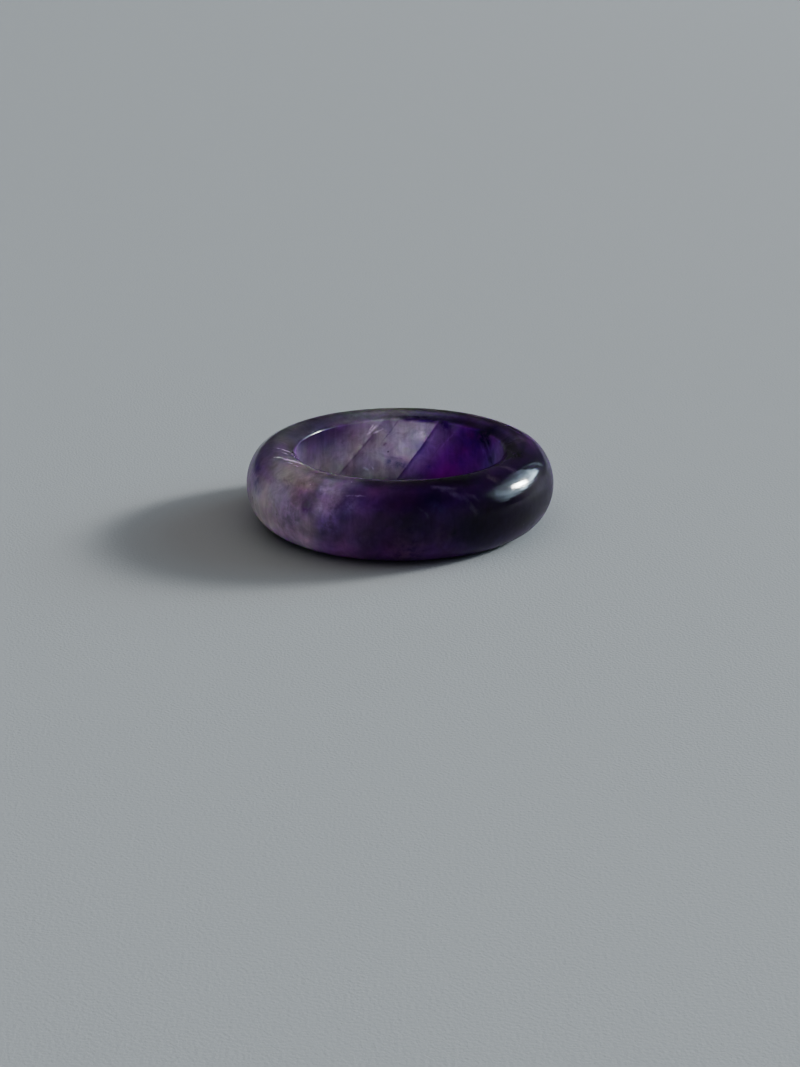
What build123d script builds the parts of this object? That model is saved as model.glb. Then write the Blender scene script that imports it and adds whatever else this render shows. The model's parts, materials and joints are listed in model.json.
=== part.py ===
"""Stackable stone ring: a plain band turned, bored and polished from one piece of banded amethyst.

The real ring is a single piece with no setting, so the model is one solid in one node, stone_band.
Its wall is an oval that the finger bore cuts straight, which leaves a thick D: flat towards the
finger and fully rounded everywhere else. The two lips of the bore are eased by polishing.

Millimetres, +Z up along the finger's axis. The ring lies on one side with the origin on the
surface it rests on, at the centre of the bore. It touches that surface along its crest circle,
which is also where it touches the next ring of a stack.
"""

import os

from build123d import *

# Driving dimensions
BORE_DIAMETER = 17.3  # finger size: US 7, EU 54
OUTSIDE_DIAMETER = 25.7
BAND_WIDTH = 6.6  # across the band, along the finger
CREST_DIAMETER = 20.4  # circle on which the band is widest, and on which the ring rests
LIP_ROUNDING = 0.25  # polished easing where the bore meets the rounded sides

# Worked out from them
BORE_RADIUS = BORE_DIAMETER / 2
CREST_RADIUS = CREST_DIAMETER / 2
OVAL_DEPTH = OUTSIDE_DIAMETER / 2 - CREST_RADIUS  # the oval's half size, away from the finger
OVAL_HEIGHT = BAND_WIDTH / 2  # the oval's half size, along the finger


def wall_section():
    """The band's cut face, at the right of the Z axis: an oval cut straight by the finger bore."""
    oval = Pos(CREST_RADIUS, OVAL_HEIGHT) * Ellipse(OVAL_DEPTH, OVAL_HEIGHT)
    bored_away = Pos(BORE_RADIUS, OVAL_HEIGHT) * Rectangle(
        BORE_DIAMETER, 2 * BAND_WIDTH, align=(Align.MAX, Align.CENTER)
    )
    wall = oval - bored_away
    lips = wall.vertices().group_by(Axis.X)[0]
    return Plane.XZ * fillet(lips, LIP_ROUNDING)


def stone_band():
    """The whole ring: the section turned once round the finger's axis."""
    return revolve(wall_section(), axis=Axis.Z)


os.makedirs("parts", exist_ok=True)
band = stone_band()
export_step(band, "parts/stone_band.step")
print(f"stone_band: {band.volume:.1f} mm3, {band.bounding_box().size}")
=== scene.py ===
# %% [markdown]
# # A stackable ring cut from banded amethyst
#
# This lesson builds the looks of one plain stone ring. The real ring is a single piece: a blank is
# sawn from a banded crystal, a diamond core drill opens the finger bore, and the outside is ground
# round and polished. There is no metal and no setting, so everything you see comes from two things:
# the rounded shape with its polish, and the crystal's own growth bands, which run straight through
# the stone. We make the shape first, then the stone.

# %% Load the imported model
import json
import math

import bmesh
import bpy
from mathutils import Matrix, Vector, noise


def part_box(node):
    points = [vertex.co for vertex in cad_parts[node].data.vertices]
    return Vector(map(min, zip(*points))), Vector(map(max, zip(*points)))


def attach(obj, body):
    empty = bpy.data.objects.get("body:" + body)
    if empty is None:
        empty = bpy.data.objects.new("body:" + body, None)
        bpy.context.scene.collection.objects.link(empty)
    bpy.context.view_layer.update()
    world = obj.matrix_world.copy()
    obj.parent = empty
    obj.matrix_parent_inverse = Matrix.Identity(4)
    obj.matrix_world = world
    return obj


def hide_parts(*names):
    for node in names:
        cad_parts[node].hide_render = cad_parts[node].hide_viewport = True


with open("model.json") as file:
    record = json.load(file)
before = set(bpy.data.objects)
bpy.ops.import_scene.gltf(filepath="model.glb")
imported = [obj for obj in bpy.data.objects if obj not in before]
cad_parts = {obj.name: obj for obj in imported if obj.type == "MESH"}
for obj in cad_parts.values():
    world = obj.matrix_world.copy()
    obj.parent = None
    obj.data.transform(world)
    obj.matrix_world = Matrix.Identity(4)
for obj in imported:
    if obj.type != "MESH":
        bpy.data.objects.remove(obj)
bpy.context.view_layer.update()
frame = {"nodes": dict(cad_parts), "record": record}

# %% [markdown]
# ## Sizes come from the frame
#
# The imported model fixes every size. The outside diameter and the width are the box of the CAD node,
# the bore is the record's mount, and the crest, the circle along which the lying band is highest, is
# read from the CAD mesh. Reading them keeps the shape right if the ring is ever made in another size.
# The stone's zones and marks are placed in millimetres, and would then have to be moved.

# %% Read the ring's sizes
MM = 0.001
AT_THE_TOP = 0.001 * MM  # how near to the highest point still counts as the crest

band_low, band_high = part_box("stone_band")
finger_bore = next(m for m in frame["record"]["mounts"] if m["name"] == "finger_bore")
bore_radius = finger_bore["dims"]["r_mm"] * MM
outside_radius = (band_high.x - band_low.x) / 2
half_width = (band_high.z - band_low.z) / 2
ring_centre = (band_low + band_high) / 2

cad_mesh = frame["nodes"]["stone_band"].data
top_points = [v.co for v in cad_mesh.vertices if v.co.z > band_high.z - AT_THE_TOP]
crest_radius = sum(math.hypot(p.x, p.y) for p in top_points) / len(top_points)
oval_depth = outside_radius - crest_radius
for name, radius in (("bore", bore_radius), ("crest", crest_radius), ("outside", outside_radius)):
    print(name, "radius in mm:", round(radius / MM, 2))

# %% [markdown]
# ## The camera
#
# A ring this small is seen from close by through a fairly long lens, from a little above the table,
# so that both the outside and the far wall of the bore show. We place the camera by the angle at
# which it looks down on the ring and by its distance. The lens points slightly below the ring, which
# puts the ring in the upper half of the picture.

# %% Make the camera
LENS = 74.2  # mm
FILM_SIDE = 36  # mm, the long side
NEAREST, FARTHEST = 0.01, 20  # metres between which the camera sees
CAMERA_ELEVATION = math.radians(18.2)
CAMERA_DISTANCE = 184.3 * MM
AIM_BELOW_RING = math.radians(1.38)
LEVEL = math.radians(90)  # a camera that isn't turned looks straight down

camera_data = bpy.data.cameras.new("camera")
camera_data.lens = LENS
camera_data.sensor_width = FILM_SIDE
camera_data.clip_start = NEAREST
camera_data.clip_end = FARTHEST
camera = bpy.data.objects.new("camera", camera_data)
camera.location = ring_centre + CAMERA_DISTANCE * Vector(
    (0, -math.cos(CAMERA_ELEVATION), math.sin(CAMERA_ELEVATION))
)
camera.rotation_euler = (LEVEL - CAMERA_ELEVATION - AIM_BELOW_RING, 0, 0)
bpy.context.scene.collection.objects.link(camera)
bpy.context.scene.camera = camera
print("the camera is at, in mm:", [round(c / MM, 1) for c in camera.location])

# %% [markdown]
# ## The wall of the band
#
# Cut across, the band is an oval whose finger side was taken off straight by the core drill: a thick
# letter D. We could model the ring from a torus, but a torus has no straight bore. Starting from the
# cut face and turning it once round the finger's axis is how a turner would think of it, and it
# gives an exact bore. The oval is a circle that we scale, a plane cuts off the finger side, and
# bevelling the two corners gives the lips their polished easing.

# %% Draw the cut face
OVAL_STEPS = 112
WALL_PLANE = Matrix.Rotation(math.radians(90), 4, "X")
ON_THE_BORE = 0.01 * MM  # how near to the bore's line a point counts as a lip


def draw_cut_face():
    """The oval in the XZ plane, right of the finger's axis and open at the bore, and its two lips."""
    bm = bmesh.new()
    bmesh.ops.create_circle(bm, segments=OVAL_STEPS, radius=1.0, matrix=WALL_PLANE)
    bmesh.ops.scale(bm, vec=(oval_depth, 1, half_width), verts=bm.verts)
    bmesh.ops.translate(bm, vec=(crest_radius, 0, ring_centre.z), verts=bm.verts)
    bmesh.ops.bisect_plane(
        bm,
        geom=bm.verts[:] + bm.edges[:],
        plane_co=(bore_radius, 0, 0),
        plane_no=(1, 0, 0),
        clear_inner=True,
    )
    lips = [v for v in bm.verts if abs(v.co.x - bore_radius) < ON_THE_BORE]
    return bm, lips


band, lips = draw_cut_face()
print("the cut face has", len(band.verts), "points, and", len(lips), "lips")

# %% [markdown]
# The bevel needs room beside each corner, and the oval's points are closer together than the easing
# is wide. So the points right beside a lip are dissolved first, then the bore's straight line joins
# the two lips, and only then are the corners rounded.

# %% Ease the lips and divide the bore's line
LIP_ROOM = 0.30 * MM
LIP_EASING = 0.09 * MM
LIP_STEPS = 5
BORE_STEPS = 26


def near_a_lip(point, lips):
    """Whether a point is so close to a lip that it would be in the bevel's way."""
    return min((point - lip.co).length for lip in lips) < LIP_ROOM


crowded = [v for v in band.verts if v not in lips and near_a_lip(v.co, lips)]
bmesh.ops.dissolve_verts(band, verts=crowded)
band.edges.new(lips)
bmesh.ops.bevel(
    band,
    geom=lips,
    offset=LIP_EASING,
    offset_type="OFFSET",
    segments=LIP_STEPS,
    profile=0.5,
    affect="VERTICES",
    clamp_overlap=False,
    material=-1,
)
bore_line = max(band.edges, key=lambda edge: edge.calc_length())
bmesh.ops.subdivide_edges(band, edges=[bore_line], cuts=BORE_STEPS)
print("with eased lips and a divided bore it has", len(band.verts), "points")

# %% [markdown]
# One full turn makes the ring. `use_merge` joins the last copy of the face to the first, which
# leaves a closed skin, and the normals are recalculated because a spin can leave them inside out.

# %% Turn the cut face once round the finger
TURN_STEPS = 320
SAME_POINT = 0.0001 * MM

bmesh.ops.spin(
    band,
    geom=band.verts[:] + band.edges[:],
    cent=(0, 0, 0),
    axis=(0, 0, 1),
    angle=math.radians(360),
    steps=TURN_STEPS,
    use_merge=True,
)
bmesh.ops.remove_doubles(band, verts=band.verts, dist=SAME_POINT)
bmesh.ops.recalc_face_normals(band, faces=band.faces)
open_edges = [e for e in band.edges if len(e.link_faces) != 2]
print("the ring has", len(band.faces), "faces and", len(open_edges), "open edges")

# %% [markdown]
# ## The hand polish
#
# A machine would leave a perfect surface, but this ring was ground on a wheel and tumbled, so the
# light wanders a little over it. The skin moves in by a few hundredths of a millimetre, never out,
# and the bore stays true because the core drill cut it. Moving each vertex along its own normal by a
# slow noise does that, with no operator for it.

# %% Let the polish wander
POLISH_DEPTH = 0.035 * MM
POLISH_LENGTH = 3.2 * MM


def polish_in(point):
    """How far the wheel has gone in at a point: nothing in the bore, more on the outside."""
    from_bore = min(1.0, (math.hypot(point.x, point.y) - bore_radius) / MM)
    wander = 0.5 + 0.5 * noise.noise(point / POLISH_LENGTH)
    return POLISH_DEPTH * max(0.0, from_bore) * wander


band.normal_update()
inward = {v: -v.normal * polish_in(v.co) for v in band.verts}
for v, step in inward.items():
    v.co += step
print("deepest polish in mm:", round(max(step.length for step in inward.values()) / MM, 3))

# %% [markdown]
# ## The ring becomes a piece
#
# The CAD band stays what the physics works with, and this finer skin is shown instead of it. So the
# skin rides on the band's body and replaces its node. The object itself stays at the origin, unturned
# and unscaled, because its place is already in the mesh.

# %% Make the ring a piece
ring_mesh = bpy.data.meshes.new("amethyst_band")
band.to_mesh(ring_mesh)
band.free()
ring_mesh.shade_smooth()
ring = bpy.data.objects.new("amethyst_band", ring_mesh)
bpy.context.scene.collection.objects.link(ring)
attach(ring, "root")
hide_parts("stone_band")
print("piece", ring.name, "has", len(ring_mesh.polygons), "faces")

# %% [markdown]
# ## Small helpers for nodes
#
# The stone is drawn with nodes only, so that it can be cut anywhere and still show the same crystal.
# Each helper adds one node and returns its socket, so that a pattern reads like a sum. A constant
# goes straight into the node, and only what changes over the stone is wired.

# %% Add a node and feed a socket


def put(tree, kind, **settings):
    """Adds a node and sets what is named."""
    made = tree.nodes.new(kind)
    for name, value in settings.items():
        setattr(made, name, value)
    return made


def feed(tree, socket, value):
    """Wires a socket to another one, or writes a plain value into it."""
    if isinstance(value, bpy.types.NodeSocket):
        tree.links.new(value, socket)
    else:
        socket.default_value = value


def tell_helpers(*helpers):
    """Prints the names of the helpers that a cell has made."""
    print("new helpers:", ", ".join(helper.__name__ for helper in helpers))


tell_helpers(put, feed, tell_helpers)

# %% [markdown]
# Numbers and places come next. A place is three numbers in one socket, in millimetres from the
# ring's centre. A share is a number from 0 to 1 that says how much of something there is, and where
# two things have to be true at once, their shares are multiplied.

# %% Reckon with numbers and places


def reckon(tree, operation, *values):
    """One Math node."""
    made = put(tree, "ShaderNodeMath", operation=operation)
    for socket, value in zip(made.inputs, values):
        feed(tree, socket, value)
    return made.outputs[0]


def both(tree, one, other):
    """The share of which both hold: their product."""
    return reckon(tree, "MULTIPLY", one, other)


def reckon_place(tree, operation, *values):
    """One Vector Math node, whose answer is a place or a number."""
    made = put(tree, "ShaderNodeVectorMath", operation=operation)
    sockets = (made.inputs[0], made.inputs["Scale"]) if operation == "SCALE" else made.inputs
    for socket, value in zip(sockets, values):
        feed(tree, socket, value)
    return made.outputs["Value" if operation in ("DOT_PRODUCT", "LENGTH", "DISTANCE") else "Vector"]


def split(tree, place):
    """The three numbers of a place."""
    made = put(tree, "ShaderNodeSeparateXYZ")
    tree.links.new(place, made.inputs[0])
    return made.outputs


def join(tree, x, y, z):
    """A place from three numbers."""
    made = put(tree, "ShaderNodeCombineXYZ")
    for socket, value in zip(made.inputs, (x, y, z)):
        feed(tree, socket, value)
    return made.outputs[0]


tell_helpers(reckon, both, reckon_place, split, join)

# %% [markdown]
# Nothing in a stone changes at a line, so a region of it is told by soft steps. They aren't clamped:
# a smooth step never leaves its range anyway, and each clamp costs the renderer memory that a stone
# with hundreds of nodes doesn't have to spare.

# %% Make soft steps


def ease(tree, value, start, end):
    """0 before start, 1 after end, smooth between; start may be the larger one."""
    made = put(tree, "ShaderNodeMapRange", interpolation_type="SMOOTHSTEP", clamp=False)
    if start > end:
        start, end = end, start
        made.inputs["To Min"].default_value, made.inputs["To Max"].default_value = 1, 0
    for name, amount in (("Value", value), ("From Min", start), ("From Max", end)):
        feed(tree, made.inputs[name], amount)
    return made.outputs["Result"]


tell_helpers(ease)

# %% [markdown]
# A colour can be laid over another one, shifted in hue, or made darker and lighter. The same Mix
# node does all three, mixing with a paint, with a hue or with black.

# %% Mix colours


def tint(tree, amount, under, over, mode="MIX"):
    """Lays one colour over another."""
    made = put(tree, "ShaderNodeMix", data_type="RGBA", blend_type=mode)
    feed(tree, made.inputs[0], amount)
    for socket, colour in ((made.inputs[6], under), (made.inputs[7], over)):
        feed(tree, socket, (*colour, 1.0) if isinstance(colour, tuple) else colour)
    return made.outputs[2]


def shift_hue(tree, amount, colour, hue):
    """Multiplies a colour by a hue where amount is 1."""
    return tint(tree, amount, colour, hue, mode="MULTIPLY")


def tone(tree, colour, amount):
    """Makes a colour darker below 1 and lighter above."""
    toned = put(tree, "ShaderNodeMix", data_type="RGBA", clamp_factor=False)
    toned.inputs[6].default_value = (0, 0, 0, 1)
    feed(tree, toned.inputs[0], amount)
    feed(tree, toned.inputs[7], colour)
    return toned.outputs[2]


tell_helpers(tint, shift_hue, tone)

# %% [markdown]
# The last helper gives noise. It is three-dimensional, so that a pattern runs on through the stone
# and has no seam, and its lumps are given in millimetres.

# %% Make noise


def cloud(tree, place, size, detail=3.0, rough=0.5, swirl=0.0):
    """Soft noise from 0 to 1 with lumps of about size, in millimetres."""
    made = put(tree, "ShaderNodeTexNoise", noise_dimensions="3D")
    feed(tree, made.inputs["Vector"], place)
    made.inputs["Scale"].default_value = 1 / size
    made.inputs["Detail"].default_value = detail
    made.inputs["Roughness"].default_value = rough
    made.inputs["Distortion"].default_value = swirl
    return made.outputs["Fac"]


tell_helpers(cloud)

# %% [markdown]
# ## Where we are in the crystal
#
# Amethyst grows in flat layers, and each layer took up a little more or less iron, which is what
# makes it violet, smoky or milky. The rough was sawn at a slant to those layers, so in the ring they
# run as slanted bands. The whole pattern therefore hangs on one number, the height in the crystal:
# how far a point lies along the direction in which the crystal grew. Object coordinates, centred on
# the ring and turned into millimetres, give the point.

# %% Measure the height in the crystal
GROWTH = (0.763, -0.340, -0.549)  # the direction of growth, one unit long
FRONT_BEND, BOTTOM_BEND = 0.45, 0.8  # mm by which the layers dip on the front, and more below
SLOW_LENGTH, SLOW_HEIGHT = 4.5, 1.3  # mm, the long waves of a layer
FINE_LENGTH, FINE_HEIGHT = 1.1, 0.8  # mm, the short ones
CALM = 0.08  # the share of the waves that is left away from the front


def in_millimetres(tree):
    """The point of a piece that is being coloured, from the ring's centre, in millimetres."""
    coordinates = put(tree, "ShaderNodeTexCoord")
    scaled = put(tree, "ShaderNodeMapping", vector_type="POINT")
    tree.links.new(coordinates.outputs["Object"], scaled.inputs["Vector"])
    scaled.inputs["Scale"].default_value = (1 / MM,) * 3
    scaled.inputs["Location"].default_value = -ring_centre / MM
    return scaled.outputs["Vector"]


def height_in_crystal(tree, place):
    """Millimetres along the growth, a little wavy, and bent where the layers met another crystal."""
    straight = reckon_place(tree, "DOT_PRODUCT", place, GROWTH)
    _, y, z = split(tree, place)
    to_the_front = ease(tree, y, -3.0, -10.5)
    to_the_bottom = ease(tree, z, 0.6, -2.4)
    bend = reckon(tree, "MULTIPLY_ADD", to_the_bottom, BOTTOM_BEND, FRONT_BEND)
    bent = reckon(tree, "SUBTRACT", straight, reckon(tree, "MULTIPLY", bend, to_the_front))
    slow = reckon(tree, "SUBTRACT", cloud(tree, place, SLOW_LENGTH, detail=2.0), 0.5)
    fine = reckon(tree, "SUBTRACT", cloud(tree, place, FINE_LENGTH, detail=4.0, rough=0.6), 0.5)
    slow = reckon(tree, "MULTIPLY", slow, SLOW_HEIGHT)
    waves = reckon(tree, "ADD", slow, reckon(tree, "MULTIPLY", fine, FINE_HEIGHT))
    unrest = reckon(tree, "MULTIPLY_ADD", to_the_front, 1 - CALM, CALM)
    return reckon(tree, "ADD", bent, reckon(tree, "MULTIPLY", waves, unrest))


tilt = math.degrees(math.acos(abs(GROWTH[2])))
print("the layers stand at", round(tilt), "degrees to the table")

# %% [markdown]
# ## The zones
#
# From the first layers to the last the crystal went from a smoky violet tip through a grey and a
# milky lilac band to a violet that gets deeper and deeper. A colour ramp over the height holds the
# whole story. Two stops close together make a sharp boundary, and far apart a slow change. The
# outside is seen through the full width of the stone, which blurs the boundaries and greys the
# colours, so its ramp changes slowly. Its colours are linear, from 0 to 1, as all of Blender's are.

# %% Name the outside's zones
OUTSIDE_ZONES = (
    # height mm, red, green, blue
    (-10.5, 0.221, 0.173, 0.263),
    (-8.8, 0.286, 0.228, 0.323),
    (-7.6, 0.437, 0.459, 0.414),
    (-6.5, 0.492, 0.559, 0.412),
    (-5.5, 0.412, 0.488, 0.348),
    (-4.5, 0.260, 0.296, 0.229),
    (-3.5, 0.233, 0.281, 0.223),
    (-2.4, 0.308, 0.356, 0.275),
    (-1.2, 0.172, 0.172, 0.192),
    (-0.3, 0.171, 0.130, 0.198),
    (0.6, 0.215, 0.152, 0.226),
    (1.8, 0.135, 0.078, 0.145),
    (3.0, 0.115, 0.041, 0.144),
    (4.2, 0.058, 0.017, 0.094),
    (6.0, 0.083, 0.022, 0.131),
    (8.0, 0.018, 0.005, 0.040),
    (10.5, 0.014, 0.009, 0.020),
)
print(len(OUTSIDE_ZONES), "zones outside")

# %% [markdown]
# The drilled wall is thin and lit through, so it has a ramp of its own, with the same layers at the
# same heights. In it the boundary between pale and violet is sharp, and the violet glows.

# %% Name the bore's zones
BORE_ZONES = (
    # height mm, red, green, blue
    (-10.5, 0.035, 0.020, 0.050),
    (-9.0, 0.018, 0.009, 0.030),
    (-8.2, 0.080, 0.050, 0.115),
    (-7.5, 0.160, 0.115, 0.205),
    (-6.7, 0.310, 0.285, 0.310),
    (-5.56, 0.420, 0.480, 0.380),
    (-5.42, 0.300, 0.325, 0.290),
    (-5.0, 0.345, 0.400, 0.325),
    (-4.4, 0.385, 0.455, 0.350),
    (-3.6, 0.430, 0.505, 0.390),
    (-2.2, 0.350, 0.450, 0.335),
    (-1.72, 0.345, 0.435, 0.345),
    (-1.6, 0.135, 0.145, 0.190),
    (-1.35, 0.235, 0.260, 0.270),
    (-0.5, 0.180, 0.190, 0.205),
    (0.5, 0.155, 0.055, 0.195),
    (1.6, 0.165, 0.006, 0.170),
    (2.6, 0.165, 0.030, 0.175),
    (3.6, 0.150, 0.072, 0.172),
    (4.6, 0.190, 0.235, 0.225),
    (6.0, 0.100, 0.105, 0.110),
    (10.5, 0.055, 0.036, 0.075),
)
print(len(BORE_ZONES), "zones in the bore")

# %% [markdown]
# On the far side the slope from the crest down to the lip has the bright bore right behind it. Light
# comes through the thin edge there, so it has a ramp of its own, halfway between the other two.

# %% Name the far lip's zones
FAR_LIP_ZONES = (
    # height mm, red, green, blue
    (-9.3, 0.065, 0.052, 0.085),
    (-8.3, 0.115, 0.090, 0.145),
    (-7.4, 0.200, 0.180, 0.215),
    (-6.2, 0.240, 0.225, 0.255),
    (-4.8, 0.225, 0.228, 0.250),
    (-3.3, 0.185, 0.170, 0.235),
    (-1.7, 0.180, 0.135, 0.250),
    (-0.1, 0.120, 0.055, 0.175),
    (1.4, 0.160, 0.080, 0.205),
    (2.8, 0.033, 0.002, 0.110),
    (4.0, 0.150, 0.060, 0.250),
    (5.0, 0.120, 0.055, 0.240),
)
print(len(FAR_LIP_ZONES), "zones on the far lip")

# %% [markdown]
# A Color Ramp node works from 0 to 1. So the height is first stretched to that range, and every stop
# is placed by the same rule.

# %% Colour by height


def zone_colour(tree, height, zones):
    """The colour that the crystal has at a height."""
    first, last = zones[0][0], zones[-1][0]
    along = put(tree, "ShaderNodeMapRange", clamp=False)
    for name, amount in (("Value", height), ("From Min", first), ("From Max", last)):
        feed(tree, along.inputs[name], amount)
    ramp = put(tree, "ShaderNodeValToRGB")
    tree.links.new(along.outputs["Result"], ramp.inputs["Fac"])
    stops = ramp.color_ramp.elements
    while len(stops) < len(zones):
        stops.new(0.5)
    for stop, (layer, red, green, blue) in zip(stops, zones):
        stop.position = (layer - first) / (last - first)
        stop.color = (red, green, blue, 1.0)
    return ramp.outputs["Color"]


tell_helpers(zone_colour)

# %% [markdown]
# ## In the bore or outside
#
# Which of the ramps holds at a point is told by its distance from the finger's axis. The two meet
# on the eased lip, so narrowly that no seam shows.

# %% Tell the bore from the outside
ALL_OUTSIDE, ALL_BORE = 8.95, 8.68  # mm from the finger's axis


def how_far_out(tree, place):
    """The distance from the finger's axis, in millimetres."""
    return reckon_place(tree, "LENGTH", reckon_place(tree, "MULTIPLY", place, (1.0, 1.0, 0.0)))


def in_the_bore(tree, place):
    """1 on the drilled wall and 0 outside, changing over the eased lip."""
    return ease(tree, how_far_out(tree, place), ALL_OUTSIDE, ALL_BORE)


tell_helpers(how_far_out, in_the_bore)

# %% [markdown]
# ## Painted shade by place
#
# A stone that light can enter looks darker where the eye looks along a long way through it, and here
# that shade is painted into the colour: on the upper face, its slope down to the finger, and most of
# all its far side, seen at a glancing angle. The tone of the outside therefore falls towards each of
# them, and a little on the left flank. Below, where the wall is thin again, it is painted lighter, as
# the light of the table would make it.

# %% Paint the shade by place


def upper_edge(tree, place, bore):
    """1 on the crest and on the slope down to the lip, 0 on the rest of the outside."""
    _, _, z = split(tree, place)
    near_crest = ease(tree, how_far_out(tree, place), 11.2, 10.2)
    above = ease(tree, z, 1.8, 2.4)
    crest = both(tree, near_crest, above)
    return both(tree, crest, reckon(tree, "SUBTRACT", 1.0, bore))


def darken(tree, kept, amount, share):
    """Takes a share away where amount is 1; a negative share makes it lighter."""
    return reckon(tree, "MULTIPLY", kept, reckon(tree, "MULTIPLY_ADD", amount, -share, 1.0))


def painted_shade_by_place(tree, place, edge):
    """How much of its tone the outside keeps under painted shade, and above 1 where table light is
    painted.
    """
    x, y, z = split(tree, place)
    inner_slope = ease(tree, how_far_out(tree, place), 9.9, 8.8)
    near_slope = both(tree, inner_slope, ease(tree, y, 7.5, 2.5))
    front_top = both(tree, ease(tree, z, 2.75, 3.2), ease(tree, y, -7.5, -9.5))
    front_top = both(tree, front_top, ease(tree, x, -4.0, -2.0))
    upper_face = ease(tree, z, 1.0, 3.1)
    kept = reckon(tree, "MULTIPLY_ADD", upper_face, -0.45, 1.0)
    underside = ease(tree, z, -0.6, -2.2)
    kept = darken(tree, kept, underside, -0.65)
    left_flank = both(tree, ease(tree, z, 2.4, 0.6), ease(tree, x, 5.0, 1.0))
    kept = darken(tree, kept, left_flank, 0.10)
    kept = darken(tree, kept, edge, 0.25)
    kept = darken(tree, kept, front_top, 0.55)
    kept = darken(tree, kept, near_slope, 0.3)
    left_slope = both(tree, near_slope, ease(tree, x, -3.0, -8.0))
    kept = darken(tree, kept, left_slope, 0.66)
    far_side = ease(tree, y, -1.0, 8.0)
    return darken(tree, kept, far_side, 0.6)


tell_helpers(upper_edge, darken, painted_shade_by_place)

# %% [markdown]
# ## Hues by place
#
# On its way through violet stone, light loses green first. Where it has come far the stone is
# redder or bluer than its ramp says, and where the wall is thin it is greener. Painting over would
# hide the layers, so the colour is multiplied by a hue, which lets them show. Each hue has a region
# of the ring, told by a few soft steps.

# %% Name the hues and their regions
EDGE_HUE = (1.05, 1.08, 1.00)
UNDER_HUE = (1.0, 0.78, 1.02)
FAR_HUE = (1.03, 0.93, 1.08)
BEHIND_HUE = (1.00, 0.80, 1.08)
CREST_HUE = (0.98, 0.64, 1.06)
SHOULDER_HUE = (1.12, 1.25, 1.02)
CREST_REGION = (11.0, 10.0)  # mm from the finger's axis where it sets in and where it is whole
SHOULDER_REGION = (10.7, 11.3)


def behind_the_ring(tree, y, z):
    """1 on the lower outside of the far half."""
    return both(tree, ease(tree, y, 0.0, 4.0), ease(tree, z, 2.2, 0.8))


def far_lip(tree, place):
    """1 on the slope of the far lip, which the light of the bore shines through."""
    _, y, _ = split(tree, place)
    slope = ease(tree, how_far_out(tree, place), 10.1, 9.4)
    return both(tree, slope, ease(tree, y, 0.0, 3.0))


def near_left_top(tree, place, start, end):
    """1 on top of the near left, beyond end; start and end are distances from the finger's axis."""
    x, y, z = split(tree, place)
    top = both(tree, ease(tree, how_far_out(tree, place), start, end), ease(tree, z, 2.2, 2.6))
    near_side = both(tree, top, ease(tree, y, 1.0, -1.0))
    return both(tree, near_side, ease(tree, x, -0.8, -3.5))


tell_helpers(behind_the_ring, far_lip, near_left_top)

# %% [markdown]
# ## The light in the bore
#
# The far wall of the bore gets its light from the table. So it is dark under the lip and brighter
# low down, most of all in its middle. The near wall is lit by the window, straight on, and the same
# ramp would look too pale and green on it: a plum hue brings it back. On the near right, where the
# stone is darkest, the wall is dull.

# %% Light the bore
LOW_HUE = (1.0, 0.87, 1.0)
NEAR_WALL_HUE = (0.60, 0.47, 0.68)
DULL_SHADE = (0.05, 0.07, 0.06)


def lit_from_below(tree, place, colour):
    """The bore's colour, darker under the lip, brighter low down and dull on the near right."""
    x, y, z = split(tree, place)
    swing = reckon(tree, "MULTIPLY_ADD", ease(tree, z, 3.0, -0.9), 0.62, -0.24)
    middle = both(tree, ease(tree, x, -7.5, -5.0), ease(tree, x, 9.0, 2.5))
    colour = tone(tree, colour, reckon(tree, "MULTIPLY_ADD", swing, middle, 0.98))
    colour = shift_hue(tree, ease(tree, z, 1.5, -1.5), colour, LOW_HUE)
    colour = shift_hue(tree, ease(tree, y, 1.5, -2.0), colour, NEAR_WALL_HUE)
    near_right = both(tree, ease(tree, y, -1.0, -5.0), ease(tree, x, 1.0, 4.0))
    return tint(tree, near_right, colour, DULL_SHADE)


tell_helpers(lit_from_below)

# %% [markdown]
# ## Clouds and streaks
#
# No layer is even. Milky clouds of tiny liquid drops, smoky and blue spots, healed cracks that show
# as feathers and the marks of the drill give each ring its own face. Each of these is a place on the
# stone, so we name them in tables: a cloud has a centre and a reach, a streak two ends and a width.
# Noise frays their edges, so that none of them looks drawn.

# %% Lay clouds


def near(tree, place, centre, reach):
    """1 at the centre, fading to 0 at the reach, in millimetres."""
    return ease(tree, reckon_place(tree, "DISTANCE", place, centre), reach, 0.0)


def lay_clouds(tree, colour, place, fray, clouds):
    """Mixes each cloud of a table over the colour."""
    for centre, reach, strength, shade in clouds:
        amount = both(tree, near(tree, place, centre, reach), fray)
        colour = tint(tree, reckon(tree, "MULTIPLY", amount, strength), colour, shade)
    return colour


tell_helpers(near, lay_clouds)

# %% [markdown]
# A streak is told by how far a point is from a line. The point's share of the way from one end to the
# other says which spot of the line is nearest. The same share thins the streak to nothing at its tips.

# %% Lay streaks


def along(tree, place, start, end, width):
    """1 on the line from start to end, fading to 0 at the width, and to 0 at both ends."""
    run = Vector(end) - Vector(start)
    from_start = reckon_place(tree, "SUBTRACT", place, start)
    share = reckon_place(tree, "DOT_PRODUCT", from_start, run / run.length_squared)
    share = reckon(tree, "MINIMUM", reckon(tree, "MAXIMUM", share, 0.0), 1.0)
    away = reckon_place(tree, "DISTANCE", from_start, reckon_place(tree, "SCALE", run, share))
    body = ease(tree, away, width, 0.0)
    tip = reckon(tree, "MULTIPLY", share, reckon(tree, "SUBTRACT", 1.0, share))
    return both(tree, body, reckon(tree, "MULTIPLY", tip, 4.0))


def lay_streaks(tree, colour, place, fray, streaks):
    """Mixes each streak of a table over the colour."""
    for start, end, width, strength, shade in streaks:
        amount = both(tree, along(tree, place, start, end, width), fray)
        colour = tint(tree, reckon(tree, "MULTIPLY", amount, strength), colour, shade)
    return colour


tell_helpers(along, lay_streaks)

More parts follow.
